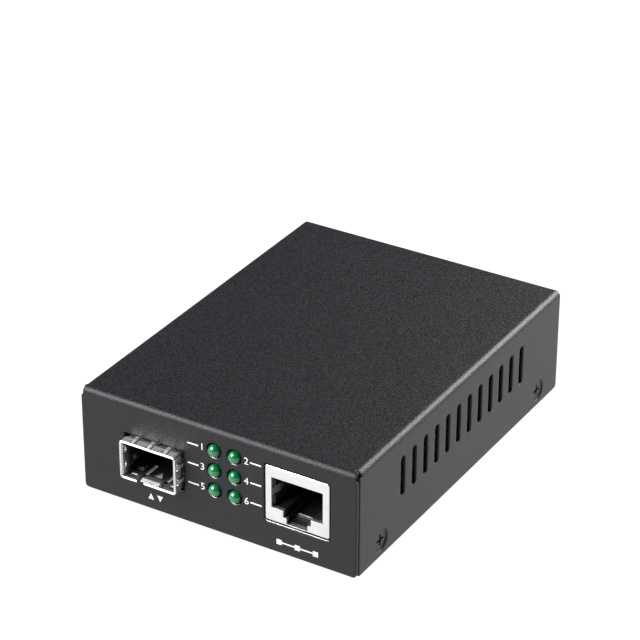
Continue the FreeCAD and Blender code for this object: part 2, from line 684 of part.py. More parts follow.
def cage_leg_places():
    """X, Y of the cage's legs, under the middle of its side walls."""
    offset = (CAGE_W - CAGE_WALL) / 2
    ys = evenly(CAGE_LEG_FIRST_Y, CAGE_BACK - CAGE_LEG_BACK, CAGE_LEG_COUNT)
    return [(SFP_X + side * offset, y) for side in (-1, 1) for y in ys]


def shield_leg_places():
    """X, Y of the jack shield's two legs."""
    offset = (JACK_W - JACK_WALL) / 2
    return [(JACK_X + side * offset, SHIELD_LEG_Y) for side in (-1, 1)]


def circuit_board():
    """Glass-fibre board with screw holes and slots for the legs of cage and jack."""
    half = BOARD_HALF
    outline = [(-half, BOARD_FRONT), (half, BOARD_FRONT), (half, BOARD_BACK), (-half, BOARD_BACK)]
    board = prism(outline, BOARD_CORNER_R, "XY", (BOARD_TOP - BOARD_T, BOARD_TOP))
    hole_r = bore_corner_r(BOARD_HOLE_R, FEW_SIDES)
    tools = [flat_sided_rod((x, y, 0), (0, 0, 1), hole_r, CASE_H, FEW_SIDES) for x, y in board_screw_places()]
    tools += [leg_hole(x, y, CAGE_WALL, CAGE_LEG[0]) for x, y in cage_leg_places()]
    tools += [leg_hole(x, y, JACK_WALL, SHIELD_LEG[0]) for x, y in shield_leg_places()]
    return board.cut(tools)


# ================================================================ SFP cage
def sfp_cage():
    """Folded cage: tube with latch tongue, windows with bent tabs, guide ribs and board legs."""
    half = CAGE_W / 2
    span = (CAGE_FRONT, CAGE_BACK)
    tube = rounded_block((SFP_X - half, SFP_X + half), (BOARD_TOP, CAGE_TOP), CAGE_R, span)
    room = rounded_block(
        (SFP_X - CAGE_INNER, SFP_X + CAGE_INNER), (CAGE_FLOOR, CAGE_TOP - CAGE_WALL),
        CAGE_R - CAGE_WALL, (CAGE_FRONT - CAGE_WALL, CAGE_BACK - CAGE_WALL),
    )
    under_connector = box(
        (SFP_X - CAGE_INNER, SFP_X + CAGE_INNER), (CONNECTOR_Y[0] - FLOOR_OPENING_FRONT, CASE_D),
        through_floor(),
    )
    legs = []
    for x, y in cage_leg_places():
        leg_z = (BOARD_TOP - CAGE_LEG[1], BOARD_TOP + LEG_OVERLAP)
        legs.append(box(about(x, CAGE_WALL), about(y, CAGE_LEG[0]), leg_z))
    shell = tube.cut([room, under_connector] + tongue_cuts() + side_windows() + floor_windows())
    return fused([shell, tongue_nose()] + side_tabs() + floor_tabs() + guide_ribs() + legs)


def through_floor():
    """Heights from below the cage's floor to just above it, for tools that cut the floor."""
    return (BOARD_TOP - CAGE_WALL, CAGE_FLOOR + CAGE_WALL)


def tongue_cuts():
    """Slots beside the latch tongue, the gap in front of its nose and its triangular hole."""
    inside = TONGUE_W / 2
    outside = inside + TONGUE_SLOT_W
    ahead = CAGE_FRONT - CAGE_WALL
    back = CAGE_FRONT + TONGUE_LENGTH
    crest = CAGE_FRONT + NOSE_START + NOSE_RAMP[0]
    slots = [
        box((SFP_X - outside, SFP_X - inside), (ahead, back), through_floor()),
        box((SFP_X + inside, SFP_X + outside), (ahead, back), through_floor()),
        box((SFP_X - outside, SFP_X + outside), (ahead, crest), through_floor()),
    ]
    triangle = [
        (SFP_X - LATCH_BASE / 2, LATCH_Y), (SFP_X + LATCH_BASE / 2, LATCH_Y), (SFP_X, LATCH_Y + LATCH_LENGTH)
    ]
    return slots + [prism(triangle, 0, "XY", through_floor())]


def tongue_nose():
    """Raised nose at the tongue's front: it climbs from the cage's mouth and drops to the tongue."""
    run, rise = NOSE_RAMP
    y = CAGE_FRONT + NOSE_START
    low = CAGE_FLOOR - NOSE_DROP
    crest_end = y + run + NOSE_CREST
    points = [
        (y, low), (y + run, low + rise), (crest_end, low + rise),
        (crest_end + run, BOARD_TOP), (crest_end + run + NOSE_FOOT, BOARD_TOP),
    ]
    return fold(points, CAGE_WALL, 0, "YZ", about(SFP_X, TONGUE_W))


def side_windows():
    """Windows in both side walls, in line with the collar's fingers and behind them."""
    windows = []
    for side in (-1, 1):
        x = sorted((SFP_X + side * (CAGE_INNER - CAGE_WALL), SFP_X + side * (CAGE_INNER + 2 * CAGE_WALL)))
        for offset in SIDE_FINGERS:
            z = about(CAGE_MID_Z + offset, FINGER_W + FINGER_SLIT)
            for front, back in (FRONT_WINDOW, TAB_WINDOW):
                windows.append(box(x, (CAGE_FRONT + front, CAGE_FRONT + back), z))
    return windows


def floor_windows():
    """Windows in the floor on both sides of the tongue."""
    windows = []
    for side in (-1, 1):
        x = about(SFP_X + side * (CAGE_INNER - FLOOR_WINDOW_IN), FLOOR_WINDOW_W)
        for front, back in (FLOOR_WINDOW, FLOOR_TAB_WINDOW):
            windows.append(box(x, (CAGE_FRONT + front, CAGE_FRONT + back), through_floor()))
    return windows


def inward_tab(window_back):
    """Y and distance inwards from the middle of the wall, round the outline of a bent tab."""
    root = CAGE_FRONT + window_back
    bend = root - TAB_ROOT
    tip = bend - INWARD_TAB_REACH
    return [
        (root + TAB_ROOT, 0), (bend, 0),
        (tip, INWARD_TAB_LEAN - INWARD_TAB_T), (tip, INWARD_TAB_LEAN), (root + TAB_ROOT, INWARD_TAB_T),
    ]


def side_tabs():
    """Tabs bent inwards from the rear edges of the side walls' windows."""
    tabs = []
    for side in (-1, 1):
        wall = CAGE_INNER + CAGE_WALL / 2
        outline = [(SFP_X + side * (wall - inwards), y) for y, inwards in inward_tab(TAB_WINDOW[1])]
        for offset in SIDE_FINGERS:
            tabs.append(prism(outline, 0, "XY", about(CAGE_MID_Z + offset, FINGER_W)))
    return tabs


def floor_tabs():
    """Tabs bent upwards from the rear edges of the floor's windows."""
    outline = [(y, CAGE_FLOOR - CAGE_WALL / 2 + up) for y, up in inward_tab(FLOOR_TAB_WINDOW[1])]
    return [
        prism(outline, 0, "YZ", about(SFP_X + side * (CAGE_INNER - FLOOR_WINDOW_IN), FLOOR_TAB_W))
        for side in (-1, 1)
    ]


def guide_ribs():
    """Ribs pressed inwards along both side walls."""
    ribs = []
    span = (CAGE_FRONT + RIB_SPAN[0], CAGE_FRONT + RIB_SPAN[1])
    for side in (-1, 1):
        x = sorted((SFP_X + side * (CAGE_INNER - RIB_RISE), SFP_X + side * (CAGE_INNER + CAGE_WALL / 2)))
        for offset in RIB_OFFSETS:
            ribs.append(box(x, span, about(CAGE_MID_Z + offset, RIB_W)))
    return ribs


def finger_line():
    """Y and distance outwards from the cage's wall along one bowed finger, root first."""
    line = []
    for step in range(FINGER_STEPS + 1):
        share = step / FINGER_STEPS
        bow = FINGER_BOW * 4 * share * (1 - share)
        line.append((CAGE_FRONT - FINGER_ROOT + share * FINGER_LENGTH, FINGER_LIFT * (1 - share) + bow))
    return line


def top_finger(x):
    """Finger above the cage."""
    line = [(y, CAGE_TOP + out) for y, out in finger_line()]
    return fold(line, FINGER_T, 0, "YZ", about(x, FINGER_W))


def side_finger(side, z):
    """Finger beside the cage, on its left for side -1 and on its right for side 1."""
    line = [(SFP_X + side * (CAGE_W / 2 + out), y) for y, out in finger_line()]
    if side > 0:
        line.reverse()
    return fold(line, FINGER_T, 0, "XY", about(z, FINGER_W))


def sfp_emi_collar():
    """Spring collar: rolled rim, plates between slits and bowed fingers on all four sides."""
    x = (SFP_X - COLLAR_HALF, SFP_X + COLLAR_HALF)
    z = (BOARD_TOP, COLLAR_TOP)
    hole_x = (x[0] + RIM, x[1] - RIM)
    hole_z = (z[0] + RIM, z[1] - RIM)
    mouth = (MOUTH_Y, CAGE_FRONT)
    through = (MOUTH_Y - RIM, CASE_D)
    rim = rounded_block(x, z, RIM_CORNER_R, mouth).cut(rounded_block(hole_x, hole_z, RIM_HOLE_R, through))
    front_edges = [e for e in rim.Edges if abs(e.CenterOfMass.y - MOUTH_Y) < SAME_PLACE]
    rim = rim.makeChamfer(RIM_BEVEL, front_edges)
    plates = rounded_block(x, z, RIM_CORNER_R, (CAGE_FRONT, CAGE_FRONT + PLATE_DEPTH))
    plates = plates.cut(
        rounded_block((x[0] + PLATE, x[1] - PLATE), (z[0], z[1] - PLATE), RIM_CORNER_R - PLATE, through)
    )
    plates = plates.cut(box(about(SFP_X, CAGE_W), through, (0, CAGE_TOP)))
    slit = FINGER_W + 2 * FINGER_SLIT
    slit_y = (CAGE_FRONT, CAGE_FRONT + FINGER_LENGTH)
    cuts = []
    fingers = []
    for offset in TOP_FINGERS:
        cuts.append(box(about(SFP_X + offset, slit), slit_y, (CAGE_TOP, CASE_H)))
        fingers.append(top_finger(SFP_X + offset))
    for side in (-1, 1):
        wall = SFP_X + side * CAGE_W / 2
        for offset in SIDE_FINGERS:
            cuts.append(box(sorted((wall, wall + side * RIM)), slit_y, about(CAGE_MID_Z + offset, slit)))
            fingers.append(side_finger(side, CAGE_MID_Z + offset))
    seam = box((SFP_X + SEAM_AT[0], SFP_X + SEAM_AT[1]), through, (0, hole_z[0] + RIM_BEVEL))
    return fused([rim, plates.cut(cuts)] + fingers).cut(seam)


def sfp_connector():
    """Host connector body at the end of the cage, open to the front in a card slot."""
    wide, tall, deep = CONNECTOR_SLOT
    top = BOARD_TOP + CONNECTOR_H
    body = box(about(SFP_X, CONNECTOR_W), CONNECTOR_Y, (BOARD_TOP, top))
    body = body.makeChamfer(CONNECTOR_BEVEL, top_edges(body, top))
    open_front = (CONNECTOR_Y[0] - deep, CONNECTOR_Y[0] + deep)
    slot_z = about(BOARD_TOP + CONNECTOR_H / 2, tall)
    groove_w, groove_depth = CONNECTOR_GROOVE
    groove_z = (slot_z[0] - groove_depth, slot_z[1] + groove_depth)
    grooves = [box(about(x, groove_w), open_front, groove_z) for x in contact_xs()]
    return body.cut([box(about(SFP_X, wide), open_front, slot_z)] + grooves)


def top_edges(block, top):
    """Edges of a block that lie in its upper face."""
    return [edge for edge in block.Edges if edge.BoundBox.ZMin > top - SAME_PLACE]


def contact_xs():
    """X of the contacts in one row of the host connector."""
    reach = (CONTACTS_PER_ROW - 1) / 2 * CONNECTOR_PITCH
    return evenly(SFP_X - reach, SFP_X + reach, CONTACTS_PER_ROW)


def sfp_connector_contacts():
    """Two rows of contact blades in the grooves of the host connector."""
    wide, thick = BLADE
    offset = CONNECTOR_SLOT[1] / 2 + thick
    span = (CONNECTOR_Y[0] + BLADE_RECESS, CONNECTOR_Y[0] + CONNECTOR_SLOT[2])
    blades = []
    for x in contact_xs():
        for side in (-1, 1):
            z = about(BOARD_TOP + CONNECTOR_H / 2 + side * offset, thick)
            blades.append(box(about(x, wide), span, z))
    return blades


# ================================================================ RJ45 jack
def mouth_outline(grow):
    """Stepped outline of the jack's mouth, latch side down, grown outwards by a margin."""
    half = MOUTH_W / 2 + grow
    half_1 = STEP_1[0] / 2 + grow
    half_2 = STEP_2[0] / 2 + grow
    low = MOUTH_Z[0] - grow
    high = MOUTH_Z[1] + grow
    right = [
        (half_2, STEP_2_Z - grow), (half_2, STEP_1_Z - grow), (half_1, STEP_1_Z - grow),
        (half_1, low), (half, low), (half, high),
    ]
    left = [(-u, v) for u, v in reversed(right)]
    return [(JACK_X + u, v) for u, v in right + left]


def rj45_shield():
    """Folded shield: face with stepped mouth, closed back, open underside, side tabs and legs."""
    front = -JACK_PROUD
    behind_face = front + JACK_WALL
    x = about(JACK_X, JACK_W)
    inside_x = about(JACK_X, JACK_W - 2 * JACK_WALL)
    shell = rounded_block(x, (BOARD_TOP, JACK_TOP), JACK_R, (front, JACK_BACK))
    face_edges = [e for e in shell.Edges if abs(e.CenterOfMass.y - front) < SAME_PLACE]
    shell = shell.makeChamfer(JACK_BEVEL, face_edges)
    inside = rounded_block(
        inside_x, (BOARD_TOP + JACK_WALL, JACK_TOP - JACK_WALL),
        JACK_R - JACK_WALL, (behind_face, JACK_BACK - JACK_WALL),
    )
    underside = box(inside_x, (FLOOR_PLATE_BACK, JACK_BACK - JACK_WALL), (0, BOARD_TOP + JACK_H / 2))
    lining_back = behind_face + MOUTH_LINING_DEPTH
    lining = prism(mouth_outline(MOUTH_LINING), 0, "XZ", (front + JACK_WALL / 2, lining_back))
    lining = lining.common(box(x, (front, lining_back), (BOARD_TOP + JACK_WALL / 2, JACK_TOP)))
    mouth = prism(mouth_outline(0), 0, "XZ", (front - JACK_WALL, lining_back + JACK_WALL))
    shell = fused([shell.cut([inside, underside]), lining]).cut(mouth)
    legs = []
    for leg_x, y in shield_leg_places():
        leg_z = (BOARD_TOP - SHIELD_LEG[1], BOARD_TOP + LEG_OVERLAP)
        legs.append(box(about(leg_x, JACK_WALL), about(y, SHIELD_LEG[0]), leg_z))
    return fused([shell, latch_spring()] + shield_tabs() + legs)


def shield_tabs():
    """Spring tabs that bend backwards from both sides of the mouth and lean into it."""
    tabs = []
    start = JACK_WALL / 2 - JACK_PROUD
    knee = TAB_LENGTH * TAB_KNEE
    end_lean = TAB_LEAN * TAB_KNEE
    outline = [
        (-MOUTH_LINING, start), (0, start), (TAB_LEAN, knee), (end_lean, TAB_LENGTH),
        (end_lean - MOUTH_LINING, TAB_LENGTH), (TAB_LEAN - MOUTH_LINING, knee),
    ]
    for side in (-1, 1):
        placed = [(JACK_X + side * (MOUTH_W / 2 - inwards), y) for inwards, y in outline]
        tabs.append(prism(placed, 0, "XY", TAB_Z))
    return tabs


def latch_spring():
    """Strip of the shield along the floor of the latch channel, turned up at its end."""
    points = [(0, BOARD_TOP), (SPRING_Y, BOARD_TOP), (SPRING_Y, BOARD_TOP + SPRING_H)]
    return fold(points, JACK_WALL, 0, "YZ", about(JACK_X, SPRING_W))


def rj45_housing():
    """Moulded jack body with the plug cavity, latch channel, tab recesses and wire grooves."""
    gap = HOUSING_GAP
    front = JACK_WALL - JACK_PROUD + MOUTH_LINING_DEPTH + gap
    back = JACK_BACK - JACK_WALL - gap
    bottom = BOARD_TOP + JACK_WALL + gap
    x = about(JACK_X, JACK_W - 2 * (JACK_WALL + gap))
    body = box(x, (front, back), (bottom, JACK_TOP - JACK_WALL - gap))
    foot_block = box(x, (FLOOR_PLATE_BACK + gap, back), (BOARD_TOP, bottom))
    floor = STEP_2_Z + CHANNEL_FLOOR
    open_front = (0, CAVITY_DEPTH)
    cuts = [
        box(about(JACK_X, MOUTH_W - 2 * CAVITY_INSET), open_front, MOUTH_Z),
        box(about(JACK_X, STEP_1[0]), open_front, (STEP_1_Z, MOUTH_Z[1])),
        box(about(JACK_X, STEP_2[0]), open_front, (floor, MOUTH_Z[1])),
        box(about(JACK_X, MOUTH_W + 2 * MOUTH_LINING + TAB_ROOM), (0, TAB_LENGTH + 2 * TAB_ROOM),
            (TAB_Z[0] - TAB_ROOM, TAB_Z[1] + TAB_ROOM)),
    ]
    for wire_x in wire_xs():
        groove = (WIRE_GROOVE_FRONT, CAVITY_DEPTH)
        cuts.append(box(about(wire_x, WIRE_W + 2 * WIRE_GAP), groove, (MOUTH_Z[1] - WIRE_T, WIRE_ROOF)))
    guard, spring_shows = SPRING_GUARD
    slot_front = SPRING_Y - JACK_WALL - gap
    ridge = box(
        about(JACK_X, STEP_2[0]), (slot_front - guard, slot_front),
        (bottom, BOARD_TOP + SPRING_H - spring_shows),
    )
    spring_slot = box(about(JACK_X, SPRING_W + 2 * gap), (slot_front, SPRING_Y + gap), (bottom, STEP_1_Z))
    return fused([fused([body, foot_block]).cut(cuts + [spring_slot]), ridge])


def wire_xs():
    """X of the contact wires of the jack."""
    reach = (WIRE_COUNT - 1) / 2 * WIRE_PITCH
    return evenly(JACK_X - reach, JACK_X + reach, WIRE_COUNT)


def rj45_contacts():
    """Eight sprung wires: along the grooves in the roof, then back down into the cavity."""
    front, end = WIRE_KNEE
    points = [(CAVITY_DEPTH - HOUSING_GAP, WIRE_ROOF), (front, WIRE_ROOF), (end, WIRE_ROOF - WIRE_DROP)]
    return [fold(points, WIRE_T, 0, "YZ", about(x, WIRE_W)) for x in wire_xs()]


# ================================================================ status lamps
def lamp_places():
    """Number, X and Z of each lamp: left to right in rows, from the top row down."""
    reach = (LAMP_COLUMN_COUNT - 1) / 2 * LAMP_COLUMN_PITCH
    xs = evenly(LAMP_MID_X - reach, LAMP_MID_X + reach, LAMP_COLUMN_COUNT)
    zs = evenly(CASE_H - LAMP_TOP_MARGIN, BOARD_TOP + LAMP_LOW, LAMP_ROW_COUNT)
    places = [(x, z) for z in zs for x in xs]
    return [(index + 1, x, z) for index, (x, z) in enumerate(places)]


def lamp(x, z):
    """3 mm lamp: domed lens, straight body and flange."""
    profile = []
    for step in range(1, DOME_STEPS + 1):
        angle = math.pi / 2 * step / DOME_STEPS
        profile.append((LAMP_R * (1 - math.cos(angle)), LAMP_R * math.sin(angle)))
    tail = LAMP_BACK + LAMP_PROUD
    tip = [(0, DOME_TIP_R)]
    body = many_sided(tip + profile + [(tail, LAMP_R)], SOME_SIDES, (x, -LAMP_PROUD, z), (0, 1, 0))
    flange_start = (x, LAMP_BACK - LAMP_FLANGE_T, z)
    return fused([body, flat_sided_rod(flange_start, (0, 1, 0), LAMP_FLANGE_R, LAMP_FLANGE_T, SOME_SIDES)])


def lamp_holder():
    """Black block that stands on the board and holds the six lamps in a grid."""
    places = lamp_places()
    x = (places[0][1] - HOLDER_WALL, places[-1][1] + HOLDER_WALL)
    top = places[0][2] + HOLDER_WALL
    block = box(x, HOLDER_Y, (BOARD_TOP, top))
    block = block.makeChamfer(HOLDER_BEVEL, top_edges(block, top))
    bore_r = bore_corner_r(LAMP_R + THREAD_GAP, FEW_SIDES)
    seat_r = bore_corner_r(LAMP_FLANGE_R + THREAD_GAP, FEW_SIDES)
    bores = []
    for _, lamp_x, z in places:
        bores.append(flat_sided_rod((lamp_x, 0, z), (0, 1, 0), bore_r, CASE_D, FEW_SIDES))
        seat_start = (lamp_x, LAMP_BACK - LAMP_FLANGE_T, z)
        bores.append(flat_sided_rod(seat_start, (0, 1, 0), seat_r, CASE_D, FEW_SIDES))
    return block.cut(bores)


def lamp_leads():
    """Two bent leads behind each lamp, down to the board; the lowest row comes down first."""
    leads = []
    for number, x, z in lamp_places():
        rows_below = LAMP_ROW_COUNT - 1 - (number - 1) // LAMP_COLUMN_COUNT
        down_y = HOLDER_Y[1] + LEAD_GAP + rows_below * LEAD_STEP_Y
        points = [(down_y, BOARD_TOP), (down_y, z), (LAMP_BACK, z)]
        for side in (-1, 1):
            leads.append(fold(points, LEAD, 0, "YZ", about(x + side * LEAD_SPREAD, LEAD)))
    return leads


# ================================================================ power inlet
def dc_jack_body():
    """Moulded inlet block on the board, with a round nose through the back panel."""
    top = BOARD_TOP + INLET_H
    block = box(about(INLET_X, INLET_W), (INLET_BACK - INLET_LENGTH, INLET_BACK), (BOARD_TOP, top))
    block = block.makeChamfer(INLET_BEVEL, top_edges(block, top))
    nose_start = (INLET_X, INLET_BACK - INLET_NOSE_ROOT, INLET_Z)
    nose_length = BACK_Y - INLET_BACK + INLET_NOSE_ROOT
    nose = flat_sided_rod(nose_start, (0, 1, 0), INLET_NOSE_R, nose_length, MANY_SIDES)
    mouth = (INLET_X, BACK_Y, INLET_Z)
    bore_r = bore_corner_r(INLET_BORE_R, MANY_SIDES)
    bore = flat_sided_rod(mouth, (0, -1, 0), bore_r, INLET_BORE_DEPTH, MANY_SIDES)
    pin_hole = flat_sided_rod(mouth, (0, -1, 0), INLET_PIN_R, INLET_BORE_DEPTH + PIN_ROOT, SOME_SIDES)
    spring_room = box(
        about(INLET_X, SPRING_ROOM_W), (BACK_Y - INLET_BORE_DEPTH, BACK_Y - SPRING_ROOM_END),
        (INLET_Z - INLET_BORE_R - INLET_SPRING_ROOM, INLET_Z),
    )
    return fused([block, nose]).cut([bore, pin_hole, spring_room])


def dc_jack_pin():
    """Centre pin of the inlet, rounded at its tip."""
    start = (INLET_X, BACK_Y - INLET_PIN_RECESS, INLET_Z)
    length = INLET_BORE_DEPTH + PIN_ROOT - INLET_PIN_RECESS
    profile = [(0, INLET_PIN_R - PIN_BEVEL), (PIN_BEVEL, INLET_PIN_R), (length, INLET_PIN_R)]
    return many_sided(profile, SOME_SIDES, start, (0, -1, 0))


def dc_jack_spring():
    """Bowed spring that presses on the plug's sleeve."""
    low = INLET_Z - INLET_BORE_R - INLET_SPRING_ROOM
    gap, seat = SPRING_SEAT
    start = BACK_Y - INLET_BORE_DEPTH + gap
    crest, rise = SPRING_CREST
    points = [(start, low), (start + seat, low), (BACK_Y - crest, low + rise), (BACK_Y - SPRING_END, low)]
    return fold(points, INLET_SPRING_T, 0, "YZ", about(INLET_X, INLET_SPRING_W))


# ================================================================ parts on the board
def gull_lead(turn, centre, half, offset, reach, height):
    """One gull-wing lead: out of the body at a height, down, and out along the board.

    It is drawn towards +X, half a body's width from the centre, and turned by degrees.
    """
    foot_start = LEAD_SHOULDER + LEAD_SLANT
    points = [
        (0, height), (LEAD_SHOULDER, height), (foot_start, LEAD_T), (reach, LEAD_T), (reach, 0),
        (foot_start - LEAD_T, 0), (LEAD_SHOULDER - LEAD_T, height - LEAD_T), (0, height - LEAD_T),
    ]
    lead = prism(points, 0, "XZ", about(offset, LEAD_W))
    lead.translate(V(half, 0, BOARD_TOP))
    lead.rotate(V(0, 0, 0), V(0, 0, 1), turn)
    lead.translate(V(centre[0], centre[1], 0))
    return lead


def lead_row(turn, centre, half, count, pitch, reach, height):
    """Row of gull-wing leads along one side of a package."""
    end = (count - 1) / 2 * pitch
    return [gull_lead(turn, centre, half, offset, reach, height) for offset in evenly(-end, end, count)]


def package(centre, size, height):
    """Moulded package with bevelled upper edges, standing a little off the board."""
    top = BOARD_TOP + height
    block = box(about(centre[0], size[0]), about(centre[1], size[1]), (BOARD_TOP + PACKAGE_LIFT, top))
    return block.makeChamfer(PACKAGE_BEVEL, top_edges(block, top))


def converter_chip_leads():
    """Gull-wing leads on all four sides of the converter chip."""
    leads = []
    for turn in (0, 90, 180, 270):
        leads += lead_row(
            turn, CHIP_AT, CHIP_SIZE / 2, CHIP_LEAD_COUNT, CHIP_LEAD_PITCH, CHIP_LEAD_REACH, CHIP_H / 2
        )
    return leads


def small_chip(centre):
    """Eight-lead chip: package and leads in one node."""
    wide, long, tall = SMALL_CHIP
    solids = [package(centre, (wide, long), tall)]
    for turn in (0, 180):
        solids += lead_row(
            turn, centre, wide / 2, SMALL_CHIP_LEAD_COUNT, SMALL_CHIP_PITCH, SMALL_CHIP_REACH, tall / 2
        )
    return fused(solids)


def magnetics_module():
    """Moulded transformer block with a row of flat leads along two sides."""
    wide, long, tall = MAGNETICS_SIZE
    solids = [package(MAGNETICS_AT, (wide, long), tall)]
    for turn in (0, 180):
        solids += lead_row(
            turn, MAGNETICS_AT, wide / 2,
            MAGNETICS_LEAD_COUNT, MAGNETICS_PITCH, CHIP_LEAD_REACH, MAGNETICS_LEAD_H,
        )
    return fused(solids)


def standing_block(centre, size, radius, height):
    """Block on the board with rounded upright edges."""
    x = about(centre[0], size[0])
    y = about(centre[1], size[1])
    outline = [(x[0], y[0]), (x[1], y[0]), (x[1], y[1]), (x[0], y[1])]
    return prism(outline, radius, "XY", (BOARD_TOP, BOARD_TOP + height))


def crystal_can():
    """Metal crystal can with rounded ends on a wider rim."""
    wide, long, tall = CRYSTAL_SIZE
    rim, rim_height = CRYSTAL_RIM
    centre = (LAMP_MID_X + CRYSTAL_AT[0], CRYSTAL_AT[1])
    can = standing_block(centre, (wide, long), FINE_ARC_R, tall)
    return fused([can, standing_block(centre, (wide + 2 * rim, long + 2 * rim), FINE_ARC_R, rim_height)])


def power_inductor():
    """Shielded inductor: square ferrite body with a round core set in its top."""
    size, tall = INDUCTOR_SIZE
    body = standing_block(INDUCTOR_AT, (size, size), FINE_ARC_R, tall)
    start = (*INDUCTOR_AT, BOARD_TOP + tall - INDUCTOR_CORE_DEPTH)
    return body.cut(flat_sided_rod(start, (0, 0, 1), INDUCTOR_CORE_R, tall, SOME_SIDES))


def capacitors():
    """Electrolytic capacitors by name: cans with a rolled top edge."""
    centres = {
        "capacitor_port": (LAMP_MID_X + CAPACITOR_PORT_AT[0], CAPACITOR_PORT_AT[1]),
        "capacitor_input": from_inlet(CAPACITOR_INPUT_FROM_INLET),
        "capacitor_output": from_inlet(CAPACITOR_OUTPUT_FROM_INLET),
    }
    cans = {}
    for name, (radius, tall) in CAPACITOR_SIZES.items():
        edge = CAPACITOR_BEVEL
        profile = [(0, radius), (tall - edge, radius), (tall, radius - edge)]
        cans[name] = many_sided(profile, SOME_SIDES, (*centres[name], BOARD_TOP), (0, 0, 1))
    return cans


def from_inlet(offset):
    """X, Y of a part near the inlet: right of its middle, and ahead of the board's end."""
    return (INLET_X + offset[0], BOARD_BACK - offset[1])


def small_components():
    """Rows of chip resistors and capacitors."""
    row_xs = {
        "left": RESISTOR_SIDE_INSET - BOARD_HALF,
        "right": BOARD_HALF - RESISTOR_SIDE_INSET,
        "front": LAMP_MID_X + RESISTOR_LAMP_OFFSETS["front"],
        "middle": LAMP_MID_X + RESISTOR_LAMP_OFFSETS["middle"],
        "back": RESISTOR_BACK_AT[0] - BOARD_HALF,
    }
    first_ys = dict(RESISTOR_FIRST_YS, back=BOARD_BACK - RESISTOR_BACK_AT[1])
    wide, long, tall = RESISTOR_SIZE
    parts = []
    for row, count in RESISTOR_COUNT.items():
        for index in range(count):
            y = first_ys[row] + index * RESISTOR_PITCH
            parts.append(box(about(row_xs[row], wide), about(y, long), (BOARD_TOP, BOARD_TOP + tall)))
    return parts


# ================================================================ writing the pieces
def all_pieces():
    """Every piece of the object by name, in the case frame."""
    pieces = {
        "top_cover": top_cover(),
        "base_tray": base_tray(),
        "cover_screws": cover_screws(),
        "board_standoffs": board_standoffs(),
        "board_screws": board_screws(),
        "circuit_board": circuit_board(),
        "sfp_cage": sfp_cage(),
        "sfp_emi_collar": sfp_emi_collar(),
        "sfp_connector": sfp_connector(),
        "sfp_connector_contacts": sfp_connector_contacts(),
        "rj45_shield": rj45_shield(),
        "rj45_housing": rj45_housing(),
        "rj45_contacts": rj45_contacts(),
        "lamp_holder": lamp_holder(),
        "lamp_leads": lamp_leads(),
        "dc_jack_body": dc_jack_body(),
        "dc_jack_pin": dc_jack_pin(),
        "dc_jack_spring": dc_jack_spring(),
        "converter_chip": package(CHIP_AT, (CHIP_SIZE, CHIP_SIZE), CHIP_H),
        "converter_chip_leads": converter_chip_leads(),
        "memory_chip": small_chip(MEMORY_AT),
        "regulator_chip": small_chip(from_inlet(REGULATOR_FROM_INLET)),
        "magnetics_module": magnetics_module(),
        "crystal_can": crystal_can(),
        "power_inductor": power_inductor(),
        "small_components": small_components(),
    }
    pieces.update(capacitors())
    for number, x, z in lamp_places():
        pieces["lamp_%d" % number] = lamp(x, z)
    for end, y in zip(("front", "back"), FOOT_YS):
        pieces["foot_%s_left" % end] = foot(-FOOT_X, y)
        pieces["foot_%s_right" % end] = foot(FOOT_X, y)
    return pieces


def write(name, shape):
    """Move a piece to the part's origin and write it as STEP."""
    solids = shape if isinstance(shape, list) else shape.Solids
    moved = Part.makeCompound(solids) if len(solids) > 1 else solids[0]
    moved.translate(ORIGIN)
    moved.exportStep("parts/%s.step" % name)


os.makedirs("parts", exist_ok=True)
for piece_name, piece in all_pieces().items():
    write(piece_name, piece)
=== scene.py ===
import json
import math

import bmesh
import bpy
from mathutils import Matrix, Vector


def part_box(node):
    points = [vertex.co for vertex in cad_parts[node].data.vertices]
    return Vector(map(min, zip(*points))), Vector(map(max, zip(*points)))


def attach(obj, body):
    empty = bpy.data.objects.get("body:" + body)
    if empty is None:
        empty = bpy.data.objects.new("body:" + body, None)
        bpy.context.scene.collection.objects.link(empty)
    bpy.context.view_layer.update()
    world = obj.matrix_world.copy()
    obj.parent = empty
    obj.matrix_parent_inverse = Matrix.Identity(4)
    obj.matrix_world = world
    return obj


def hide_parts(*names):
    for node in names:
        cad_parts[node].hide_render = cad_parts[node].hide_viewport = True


# The looks of the fibre media converter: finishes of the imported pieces, smooth lamp lenses,
# plain printed marks, and a pale studio.  Metres, in the part's own frame: the front panel
# faces -Y, X runs to the right as seen from the front, and the feet stand on Z = 0.

MM = 0.001

# ---------------------------------------------------------------- camera
AIM = Vector((7.6, -14.8, 41.9)) * MM
AZIMUTH = math.radians(31.05)        # round from the front, towards the right side
ELEVATION = math.radians(29.16)
ROLL = math.radians(0.14)
DISTANCE = 0.5762
LENS = 147.5                         # focal length, in millimetres
SENSOR = 36.0                        # width, in millimetres

# ---------------------------------------------------------------- studio
LIGHT_TARGET = (0.0, 0.0, 14 * MM)   # near the middle of the case
WORLD_COLOUR = (0.9, 0.93, 1.0)
WORLD_STRENGTH = 0.05
FLOOR_HALF = 4.0                     # half the side of the square floor
FLOOR_CLOUD = 0.4                    # size of the floor's faint clouds
FLOOR_GLOW = 0.95

